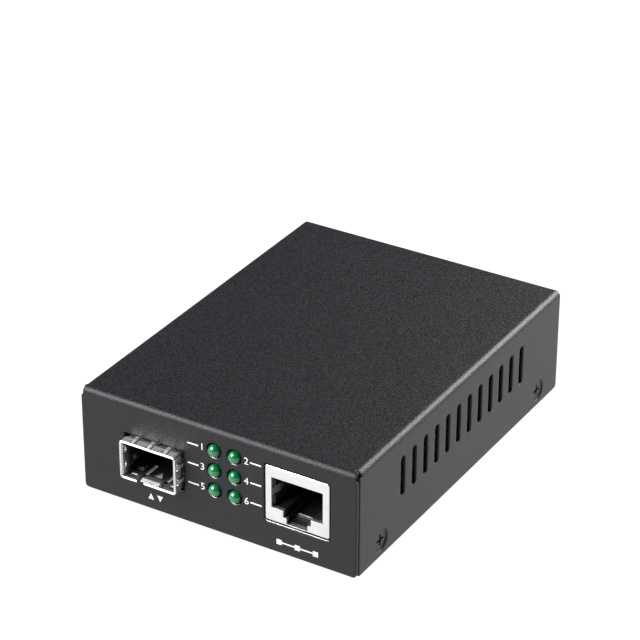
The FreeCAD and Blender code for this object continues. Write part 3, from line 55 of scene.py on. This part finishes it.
# ---------------------------------------------------------------- finishes
NOISE_SPAN = (0.3, 0.7)              # where most of a noise's values lie
GRAIN_SPAN = (0.38, 0.62)            # a narrower span, for more contrast
COAT_GRAIN = 0.32 * MM
COAT_PATCHES = 6 * MM
FOLD_RADIUS = 0.8 * MM               # how far the coat rounds the folds to the eye
# Bare metal on the front openings' up-facing edges: partly a bare punched edge, partly a painted
# highlight.
BARE_METAL_GLINT = (0.62, 0.62, 0.64)
BARE_GLINT_DEPTH = 0.35 * MM                # how far back from the front face the up-facing edges are bare metal, in part a painted highlight
TOP_FOLD = 2.4 * MM                  # from the cover's top down past its front fold
EDGE_GLINT_WIDTH = 0.12 * MM               # width of the painted highlight line along a sheet's edge inside the painted cage shade
CAGE_WALL = 0.28 * MM                # just under its sheet, so that the inner faces count
CAGE_SHADE_START = 1.5 * MM             # painted shade of the cage's inside starts this far behind its mouth
CAGE_SHADE_END = 4 * MM
CAGE_SHADE_WALL_LEAD = 1.2 * MM         # how much sooner the painted shade starts on the side walls
TRACK_PITCH = 9 * MM
TINNED_DEPTH = 9 * MM                # behind the cage's mouth
RESIN_DEPTH = 1.6 * MM               # from a lamp's tip back to its deepest green

# ---------------------------------------------------------------- lamps and print
LAMP_COUNT = 6
LAMP_SHELF = 1.0 * MM                # thickness of the rim round a lamp's tail
LAMP_RIM = 0.27 * MM                 # width of that rim
LENS_RINGS = 14
LENS_SIDES = 40
LENS_CREASE = math.radians(50)       # sharper edges than this stay sharp
PRINT_LIFT = 0.02 * MM               # print in front of the panel's face
PRINT_DEPTH = 0.02 * MM
DIGIT_HEIGHT = 1.7 * MM
DIGIT_SHARE = 0.7                    # height of a digit in a font of size 1
LAMP_LABEL_GAP = 1.3 * MM            # from the edge of a lamp to the middle of its number
DASH_GAP = 2.3 * MM                  # from the edge of a lamp to its dash
DASH = (2.8 * MM, 0.35 * MM)         # length and height
ARROW = (1.5 * MM, 1.5 * MM)         # width and height
ARROW_PITCH = 2.4 * MM
ARROW_DROP = 1.9 * MM                # from the tips of the cage's legs to its arrows' middle
LINK_SIDE = 1.3 * MM
LINK_PITCH = 4.6 * MM
LINK_DROP = 2.2 * MM                 # from the tips of the jack's legs to its squares' middle


# ================================================================ helpers
def in_scene(name, data, matrix=None):
    """New object in the scene, at the origin or where a matrix puts it."""
    item = bpy.data.objects.new(name, data)
    if matrix is not None:
        item.matrix_world = matrix
    bpy.context.scene.collection.objects.link(item)
    return item


def colour(value):
    """A socket as it is, or three numbers with full alpha."""
    return value if isinstance(value, bpy.types.NodeSocket) else (*value, 1)


class Nodes:
    """Short way to add linked nodes to one material."""

    def __init__(self, name):
        self.material = bpy.data.materials.new(name)
        self.material.use_nodes = True
        self.tree = self.material.node_tree
        self.shader = self.tree.nodes["Principled BSDF"]

    def add(self, kind, inputs=None, **settings):
        """New node; inputs maps a socket's name or number to a value or to another socket."""
        node = self.tree.nodes.new(kind)
        for key, value in settings.items():
            setattr(node, key, value)
        for key, value in (inputs or {}).items():
            self.put(node.inputs[key], value)
        return node

    def put(self, socket, value):
        """Link a socket to another one, or set its value."""
        if isinstance(value, bpy.types.NodeSocket):
            self.tree.links.new(value, socket)
        else:
            socket.default_value = value

    def set(self, **inputs):
        """Inputs of the surface shader, with _ for a space in a name."""
        for key, value in inputs.items():
            self.put(self.shader.inputs[key.replace("_", " ")], value)

    def place(self):
        """Object-space position, in metres."""
        return self.add("ShaderNodeTexCoord").outputs["Object"]

    def axes(self, vector):
        """X, Y and Z of a vector."""
        return self.add("ShaderNodeSeparateXYZ", {0: vector}).outputs

    def noise(self, size, detail=2.0, roughness=0.5, place=None):
        """Noise with features of a size in metres."""
        inputs = {
            "Vector": place or self.place(), "Scale": 1 / size,
            "Detail": detail, "Roughness": roughness,
        }
        return self.add("ShaderNodeTexNoise", inputs).outputs["Fac"]

    def stretched(self, stretch):
        """Position with each axis multiplied, so that a texture on it is drawn out."""
        inputs = {0: self.place(), 1: stretch}
        return self.add("ShaderNodeVectorMath", inputs, operation="MULTIPLY").outputs[0]

    def ramp(self, value, low, high, dark, light):
        """Colours from dark to light as value goes from low to high."""
        node = self.add("ShaderNodeValToRGB", {"Fac": value})
        first, last = node.color_ramp.elements
        first.position, last.position = low, high
        first.color, last.color = colour(dark), colour(light)
        return node.outputs["Color"]

    def remap(self, value, low, high, to_low, to_high):
        """Value between low and high, carried over to another span."""
        inputs = {"Value": value, 1: low, 2: high, 3: to_low, 4: to_high}
        return self.add("ShaderNodeMapRange", inputs).outputs["Result"]

    def maths(self, operation, first, second=0.0):
        """Result of one calculation."""
        return self.add("ShaderNodeMath", {0: first, 1: second}, operation=operation).outputs[0]

    def product(self, *shares):
        """All the shares multiplied together."""
        result = shares[0]
        for share in shares[1:]:
            result = self.maths("MULTIPLY", result, share)
        return result

    def between(self, value, low, high):
        """1 where value lies between low and high, 0 elsewhere."""
        above = self.maths("GREATER_THAN", value, low)
        return self.product(above, self.maths("LESS_THAN", value, high))

    def mix(self, share, first, second):
        """Colour that goes from the first to the second as share goes from 0 to 1."""
        node = self.add("ShaderNodeMix", {"Factor": share}, data_type="RGBA")
        self.put(node.inputs["A"], colour(first))
        self.put(node.inputs["B"], colour(second))
        return node.outputs["Result"]

    def bump(self, height, strength, distance, normal=None):
        """Normal of a bumpy surface."""
        inputs = {"Height": height, "Strength": strength, "Distance": distance}
        if normal is not None:
            inputs["Normal"] = normal
        return self.add("ShaderNodeBump", inputs).outputs["Normal"]

    def edges(self, radius):
        """Normal that rounds sharp edges by a radius."""
        return self.add("ShaderNodeBevel", {"Radius": radius}, samples=4).outputs["Normal"]

    def sharp(self, radius):
        """Share of a sharp edge: 1 on it, 0 beyond a radius."""
        flat = self.add("ShaderNodeNewGeometry").outputs["Normal"]
        inputs = {0: self.edges(radius), 1: flat}
        alike = self.add("ShaderNodeVectorMath", inputs, operation="DOT_PRODUCT")
        return self.remap(alike.outputs["Value"], 0.99, 0.85, 0.0, 1.0)


# ================================================================ finishes
def powder_coat():
    """Fine-grained black powder coat, with bare metal on the front openings' lower edges, in part a
    painted highlight.
    """
    n = Nodes("case_black")
    grain = n.noise(COAT_GRAIN, detail=2.0, roughness=0.6)
    patches = n.noise(COAT_PATCHES, detail=2.0)
    coat = n.ramp(grain, *GRAIN_SPAN, (0.006, 0.006, 0.007), (0.016, 0.016, 0.019))
    # Bare metal on up-facing punched edges, in part a painted highlight where light catches them.
    bare_and_glint = cut_edge(n)
    fine = n.remap(grain, *GRAIN_SPAN, 0.34, 0.46)
    coarse = n.remap(patches, *NOISE_SPAN, -0.006, 0.006)
    n.set(
        Base_Color=n.mix(bare_and_glint, coat, BARE_METAL_GLINT),
        Metallic=n.maths("MULTIPLY", bare_and_glint, 0.9),
        Roughness=n.maths("ADD", fine, coarse),
        Specular_IOR_Level=0.3,
        Normal=n.bump(grain, 0.6, 0.11 * MM, n.edges(FOLD_RADIUS)),
    )
    return n.material


def cut_edge(n):
    """Share of bare metal, in part a painted highlight: 1 on the front panel's punched edges that
    face up, where light catches them, 0 elsewhere.
    """
    low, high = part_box("top_cover")
    geometry = n.add("ShaderNodeNewGeometry").outputs
    place, facing = n.axes(geometry["Position"]), n.axes(geometry["True Normal"])
    in_panel = n.maths("LESS_THAN", place["Y"], low.y + BARE_GLINT_DEPTH)
    under_fold = n.maths("LESS_THAN", place["Z"], high.z - TOP_FOLD)
    edge_on = n.maths("LESS_THAN", n.maths("ABSOLUTE", facing["Y"]), 0.3)
    upward = n.maths("GREATER_THAN", facing["Z"], 0.3)
    return n.product(in_panel, under_fold, edge_on, upward)


def bright_sheet(name, tint, roughness):
    """Plated sheet with faint rolling lines, with painted shade on the cage's inner faces and
    painted highlight lines along their sharp edges.
    """
    n = Nodes(name)
    lines = n.noise(0.5 * MM, detail=3.0, place=n.stretched((0.15, 1.0, 3.0)))
    cloud = n.noise(3 * MM)
    own_tint = n.ramp(cloud, *NOISE_SPAN, [0.92 * c for c in tint], tint)
    # Painted shade: the cage's inner faces take a dim copy of the tint; sharp edges keep the full
    # tint as painted highlight lines.
    painted_shade_share = n.product(in_cage(n), n.maths("SUBTRACT", 1.0, n.sharp(EDGE_GLINT_WIDTH)))
    n.set(
        Base_Color=n.mix(painted_shade_share, own_tint, [0.14 * c for c in tint]),
        Metallic=1.0,
        Roughness=n.remap(lines, *NOISE_SPAN, roughness - 0.05, roughness + 0.06),
        Normal=n.bump(lines, 0.12, 0.02 * MM, n.edges(0.06 * MM)),
    )
    return n.material


def in_cage(n):
    """Share of painted shade: rises to 1 on the cage's inner faces behind its mouth, 0 elsewhere.
    """
    low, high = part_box("sfp_cage")
    geometry = n.add("ShaderNodeNewGeometry").outputs
    place, facing = n.axes(geometry["Position"]), n.axes(geometry["True Normal"])
    sideways = n.maths("ABSOLUTE", facing["X"])
    depth = n.maths("ADD", place["Y"], n.maths("MULTIPLY", sideways, CAGE_SHADE_WALL_LEAD))
    return n.product(
        n.remap(depth, low.y + CAGE_SHADE_START, low.y + CAGE_SHADE_END, 0.0, 1.0),
        n.between(place["X"], low.x + CAGE_WALL, high.x - CAGE_WALL),
        n.between(place["Z"], low.z + CAGE_WALL, high.z - CAGE_WALL),
    )


def plated(name, tint, roughness):
    """Small plated piece, such as a screw, a lead or a contact."""
    n = Nodes(name)
    grain = n.noise(0.3 * MM)
    n.set(
        Base_Color=n.ramp(grain, *NOISE_SPAN, [0.85 * c for c in tint], tint),
        Metallic=1.0,
        Roughness=n.remap(grain, *NOISE_SPAN, roughness - 0.05, roughness + 0.08),
        Normal=n.bump(grain, 0.1, 0.02 * MM, n.edges(0.08 * MM)),
    )
    return n.material


def moulded(name, dark, light, roughness, grain_size):
    """Moulded or fired piece with a fine grain."""
    n = Nodes(name)
    grain = n.noise(grain_size, detail=3.0)
    n.set(
        Base_Color=n.ramp(grain, *NOISE_SPAN, dark, light),
        Roughness=n.remap(grain, *NOISE_SPAN, roughness - 0.06, roughness + 0.06),
        Normal=n.bump(grain, 0.25, 0.03 * MM, n.edges(0.08 * MM)),
    )
    return n.material


def board():
    """Green solder mask over tracks, a tinned field at the cage's mouth, and board edges in a brown
    darkened to near black as painted shade.
    """
    n = Nodes("board_green")
    low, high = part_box("sfp_cage")
    tracks = n.add("ShaderNodeTexBrick", {
        "Vector": n.place(), "Scale": 1 / TRACK_PITCH, "Mortar Size": 0.03, "Mortar Smooth": 0.3,
    }).outputs["Fac"]
    grain = n.noise(0.8 * MM, detail=3.0)
    mask = n.ramp(grain, *NOISE_SPAN, (0.008, 0.10, 0.035), (0.012, 0.14, 0.05))
    green = n.mix(n.maths("MULTIPLY", tracks, 0.5), mask, (0.03, 0.26, 0.09))
    # Painted shade: the board's edge faces in a brown so dark that they read as shade in the gaps.
    fibre_and_shade = n.ramp(grain, *NOISE_SPAN, (0.02, 0.018, 0.012), (0.035, 0.032, 0.02))
    place = n.axes(n.place())
    facing = n.axes(n.add("ShaderNodeNewGeometry").outputs["True Normal"])
    level = n.maths("GREATER_THAN", n.maths("ABSOLUTE", facing["Z"]), 0.5)
    ahead = n.maths("LESS_THAN", place["Y"], low.y + TINNED_DEPTH)
    tinned = n.product(level, ahead, n.between(place["X"], low.x, high.x))
    n.set(
        Base_Color=n.mix(tinned, n.mix(level, fibre_and_shade, green), (0.85, 0.85, 0.84)),
        Metallic=n.maths("MULTIPLY", tinned, 0.7),
        Roughness=n.remap(grain, *NOISE_SPAN, 0.3, 0.42),
        Normal=n.bump(n.maths("ADD", grain, tracks), 0.2, 0.03 * MM),
    )
    return n.material


def lamp_resin():
    """Green tinted resin, deeper in colour towards the back of the lens."""
    n = Nodes("lamp_green")
    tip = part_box("lamp_1")[0].y
    share = n.remap(n.axes(n.place())["Y"], tip, tip + RESIN_DEPTH, 0.0, 1.0)
    tint = n.mix(share, (0.0, 0.18, 0.055), (0.0, 0.07, 0.022))
    flaw = n.noise(0.6 * MM)
    n.set(
        Base_Color=n.mix(n.maths("MULTIPLY", flaw, 0.15), tint, (0.01, 0.30, 0.10)),
        Roughness=n.remap(flaw, *NOISE_SPAN, 0.08, 0.14),
        Normal=n.bump(flaw, 0.05, 0.02 * MM),
        Coat_Weight=0.8,
        Coat_Roughness=0.04,
    )
    return n.material


def ink():
    """White screen print, a little uneven over the coat's grain."""
    n = Nodes("print_white")
    grain = n.noise(0.3 * MM, detail=2.0)
    n.set(
        Base_Color=n.ramp(grain, *NOISE_SPAN, (0.70, 0.70, 0.71), (0.86, 0.86, 0.86)),
        Roughness=n.remap(grain, *NOISE_SPAN, 0.5, 0.65),
        Normal=n.bump(grain, 0.3, 0.04 * MM),
    )
    return n.material


def finishes():
    """Every material by the name of its slot in the record."""
    materials = {
        "case_black": powder_coat(),
        "board_green": board(),
        "bright_spring_steel": bright_sheet("bright_spring_steel", (0.80, 0.80, 0.81), 0.42),
        "lamp_green": lamp_resin(),
    }
    for name, tint, roughness in (
        ("screw_black", (0.04, 0.04, 0.042), 0.34),
        ("zinc_steel", (0.72, 0.73, 0.74), 0.3),
        ("gold_contact", (0.83, 0.62, 0.24), 0.25),
        ("capacitor_aluminium", (0.62, 0.64, 0.67), 0.35),
    ):
        materials[name] = plated(name, tint, roughness)
    for name, dark, light, roughness, grain in (
        ("black_plastic", (0.008, 0.008, 0.008), (0.016, 0.016, 0.017), 0.4, 0.5 * MM),
        ("chip_black", (0.02, 0.02, 0.022), (0.04, 0.04, 0.042), 0.6, 0.25 * MM),
        ("ferrite_grey", (0.12, 0.12, 0.13), (0.19, 0.19, 0.2), 0.7, 0.3 * MM),
        ("foot_rubber", (0.02, 0.02, 0.02), (0.04, 0.04, 0.04), 0.75, 0.3 * MM),
    ):
        materials[name] = moulded(name, dark, light, roughness, grain)
    return materials


def dress(frame, materials):
    """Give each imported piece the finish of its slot."""
    for entry in frame["record"]["subparts"]:
        mesh = frame["nodes"][entry["node"]].data
        mesh.materials.clear()
        mesh.materials.append(materials[entry["material_slot"]])


# ================================================================ lamps
def lamp_profile(low, high):
    """Distance behind the tip and radius along a lamp, from the tip of its dome to its tail."""
    half = (high.x - low.x) / 2
    radius = half - LAMP_RIM
    tail = high.y - low.y
    profile = []
    for step in range(LENS_RINGS + 1):
        angle = math.pi / 2 * step / LENS_RINGS
        profile.append((radius * (1 - math.cos(angle)), radius * math.sin(angle)))
    profile += [(tail - LAMP_SHELF, radius), (tail - LAMP_SHELF, half), (tail, half), (tail, 0.0)]
    return profile


def lamp_lens(node, material):
    """Smooth lamp in place of a packed one."""
    low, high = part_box(node)
    centre = (low + high) / 2
    bm = bmesh.new()
    rings = []
    for along, radius in lamp_profile(low, high):
        count = LENS_SIDES if radius > 1e-9 else 1
        ring = []
        for index in range(count):
            angle = 2 * math.pi * index / LENS_SIDES
            across, up = radius * math.cos(angle), radius * math.sin(angle)
            ring.append(bm.verts.new((centre.x + across, low.y + along, centre.z + up)))
        rings.append(ring)
    for near, far in zip(rings, rings[1:]):
        for index in range(LENS_SIDES):
            after = (index + 1) % LENS_SIDES
            corners = [
                near[index % len(near)], near[after % len(near)],
                far[after % len(far)], far[index % len(far)],
            ]
            bm.faces.new(list(dict.fromkeys(corners)))
    bmesh.ops.recalc_face_normals(bm, faces=bm.faces)
    mesh = bpy.data.meshes.new(node + "_lens")
    bm.to_mesh(mesh)
    bm.free()
    mesh.shade_smooth()
    mesh.set_sharp_from_angle(angle=LENS_CREASE)
    mesh.materials.append(material)
    lens = in_scene(node + "_lens", mesh)
    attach(lens, "root")
    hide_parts(node)


# ================================================================ print
def print_plane():
    """Y of the middle of the print, just in front of the panel's face."""
    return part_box("top_cover")[0].y - PRINT_LIFT


def printed(name, text, centre_x, centre_z, height, material):
    """Number printed on the front panel, centred on a point."""
    curve = bpy.data.curves.new(name, "FONT")
    curve.body = text
    curve.size = height / DIGIT_SHARE
    curve.align_x = "CENTER"
    curve.align_y = "CENTER"
    curve.extrude = PRINT_DEPTH / 2
    curve.materials.append(material)
    upright = Matrix.Rotation(math.pi / 2, 4, "X")
    place = Matrix.Translation((centre_x, print_plane(), centre_z))
    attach(in_scene(name, curve, place @ upright), "root")


def shape(name, corners, material):
    """Flat shape printed on the front panel; corners are X and Z, anticlockwise from the front."""
    middle = print_plane()
    count = len(corners)
    front = [(x, middle - PRINT_DEPTH / 2, z) for x, z in corners]
    back = [(x, middle + PRINT_DEPTH / 2, z) for x, z in corners]
    faces = [tuple(range(count)), tuple(range(2 * count - 1, count - 1, -1))]
    faces += [(i, i + count, (i + 1) % count + count, (i + 1) % count) for i in range(count)]
    mesh = bpy.data.meshes.new(name)
    mesh.from_pydata(front + back, [], faces)
    mesh.materials.append(material)
    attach(in_scene(name, mesh), "root")


def bar(name, centre_x, centre_z, width, height, material):
    """Rectangle printed on the front panel, centred on a point."""
    x, z = width / 2, height / 2
    shape(name, [
        (centre_x - x, centre_z - z), (centre_x + x, centre_z - z),
        (centre_x + x, centre_z + z), (centre_x - x, centre_z + z),
    ], material)


def lamp_labels(material):
    """A number and a dash beside each lamp: odd ones on the left, even ones on the right."""
    for number in range(1, LAMP_COUNT + 1):
        low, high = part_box("lamp_%d" % number)
        centre = (low + high) / 2
        side = -1 if number % 2 else 1
        edge = centre.x + side * (high.x - low.x) / 2
        digit, dash = edge + side * LAMP_LABEL_GAP, edge + side * (DASH_GAP + DASH[0] / 2)
        printed("number_%d" % number, str(number), digit, centre.z, DIGIT_HEIGHT, material)
        bar("dash_%d" % number, dash, centre.z, *DASH, material)


def port_labels(material):
    """Arrows for out and in under the cage; three squares joined by a line under the jack."""
    low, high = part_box("sfp_cage")
    middle, level = (low.x + high.x) / 2, low.z - ARROW_DROP
    x, z = ARROW[0] / 2, ARROW[1] / 2
    for name, side in (("arrow_out", -1), ("arrow_in", 1)):
        centre = middle + side * ARROW_PITCH / 2
        tip, base = level - side * z, level + side * z
        corners = [(centre - side * x, base), (centre, tip), (centre + side * x, base)]
        shape(name, corners[::-side], material)
    low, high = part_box("rj45_shield")
    middle, level = (low.x + high.x) / 2, low.z - LINK_DROP
    for place in (-1, 0, 1):
        across = middle + place * LINK_PITCH
        bar("link_%d" % (place + 2), across, level, LINK_SIDE, LINK_SIDE, material)
    for side in (-1, 1):
        across = middle + side * LINK_PITCH / 2
        bar("link_line_%d" % (side + 2), across, level, LINK_PITCH - LINK_SIDE, DASH[1], material)


# ================================================================ studio
def facing_back(towards):
    """Rotation of a camera or light that looks against a direction."""
    return towards.to_track_quat("Z", "Y").to_matrix().to_4x4()


def camera():
    """Camera at the object's front right, looking down on it."""
    level = math.cos(ELEVATION)
    towards = Vector((math.sin(AZIMUTH) * level, -math.cos(AZIMUTH) * level, math.sin(ELEVATION)))
    data = bpy.data.cameras.new("camera")
    data.lens = LENS
    data.sensor_width = SENSOR
    data.clip_start = 0.01
    place = Matrix.Translation(AIM + towards * DISTANCE)
    roll = Matrix.Rotation(ROLL, 4, "Z")
    bpy.context.scene.camera = in_scene("camera", data, place @ facing_back(towards) @ roll)


def panel_light(name, azimuth, elevation, distance, width, height, power):
    """Soft rectangular light that faces the case from an azimuth, an elevation and a distance.

    The azimuth runs from straight behind the object (+Y) towards its right side (+X).
    """
    turn, rise = math.radians(azimuth), math.radians(elevation)
    level = math.cos(rise)
    towards = Vector((math.sin(turn) * level, math.cos(turn) * level, math.sin(rise)))
    data = bpy.data.lights.new(name, "AREA")
    data.shape = "RECTANGLE"
    data.size, data.size_y = width, height
    data.energy = power
    place = Matrix.Translation(Vector(LIGHT_TARGET) + towards * distance)
    in_scene(name, data, place @ facing_back(towards)).visible_camera = False


def floor():
    """Pale floor; it glows, and so also lights the side faces and the metal."""
    mesh = bpy.data.meshes.new("floor")
    corners = [(x * FLOOR_HALF, y * FLOOR_HALF, 0) for x, y in ((-1, -1), (1, -1), (1, 1), (-1, 1))]
    mesh.from_pydata(corners, [], [(0, 1, 2, 3)])
    n = Nodes("floor_pale")
    cloud = n.noise(FLOOR_CLOUD)
    n.set(
        Base_Color=n.ramp(cloud, *NOISE_SPAN, (0.06, 0.06, 0.06), (0.07, 0.07, 0.07)),
        Roughness=0.9,
        Emission_Color=(1, 1, 1, 1),
        Emission_Strength=FLOOR_GLOW,
    )
    mesh.materials.append(n.material)
    in_scene("floor", mesh)


def studio():
    """World, lights and view transform."""
    world = bpy.data.worlds.new("studio")
    world.use_nodes = True
    background = world.node_tree.nodes["Background"].inputs
    background["Color"].default_value = colour(WORLD_COLOUR)
    background["Strength"].default_value = WORLD_STRENGTH
    bpy.context.scene.world = world
    bpy.context.scene.view_settings.view_transform = "Standard"
    panel_light(
        "right_rear", azimuth=25, elevation=32, distance=0.5, width=0.4, height=0.3, power=6.0,
    )
    panel_light(
        "front_left", azimuth=220, elevation=38, distance=0.6, width=0.5, height=0.4, power=8.0,
    )


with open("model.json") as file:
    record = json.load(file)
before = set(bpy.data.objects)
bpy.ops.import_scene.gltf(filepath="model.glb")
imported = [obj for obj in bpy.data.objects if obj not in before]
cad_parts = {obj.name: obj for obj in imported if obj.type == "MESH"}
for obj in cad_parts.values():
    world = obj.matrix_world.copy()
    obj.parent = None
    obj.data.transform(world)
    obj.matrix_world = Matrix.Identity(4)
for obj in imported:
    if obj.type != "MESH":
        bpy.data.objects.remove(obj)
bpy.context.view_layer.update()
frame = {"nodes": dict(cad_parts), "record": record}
materials = finishes()
dress(frame, materials)
for number in range(1, LAMP_COUNT + 1):
    lamp_lens("lamp_%d" % number, materials["lamp_green"])
white = ink()
lamp_labels(white)
port_labels(white)
camera()
studio()
floor()
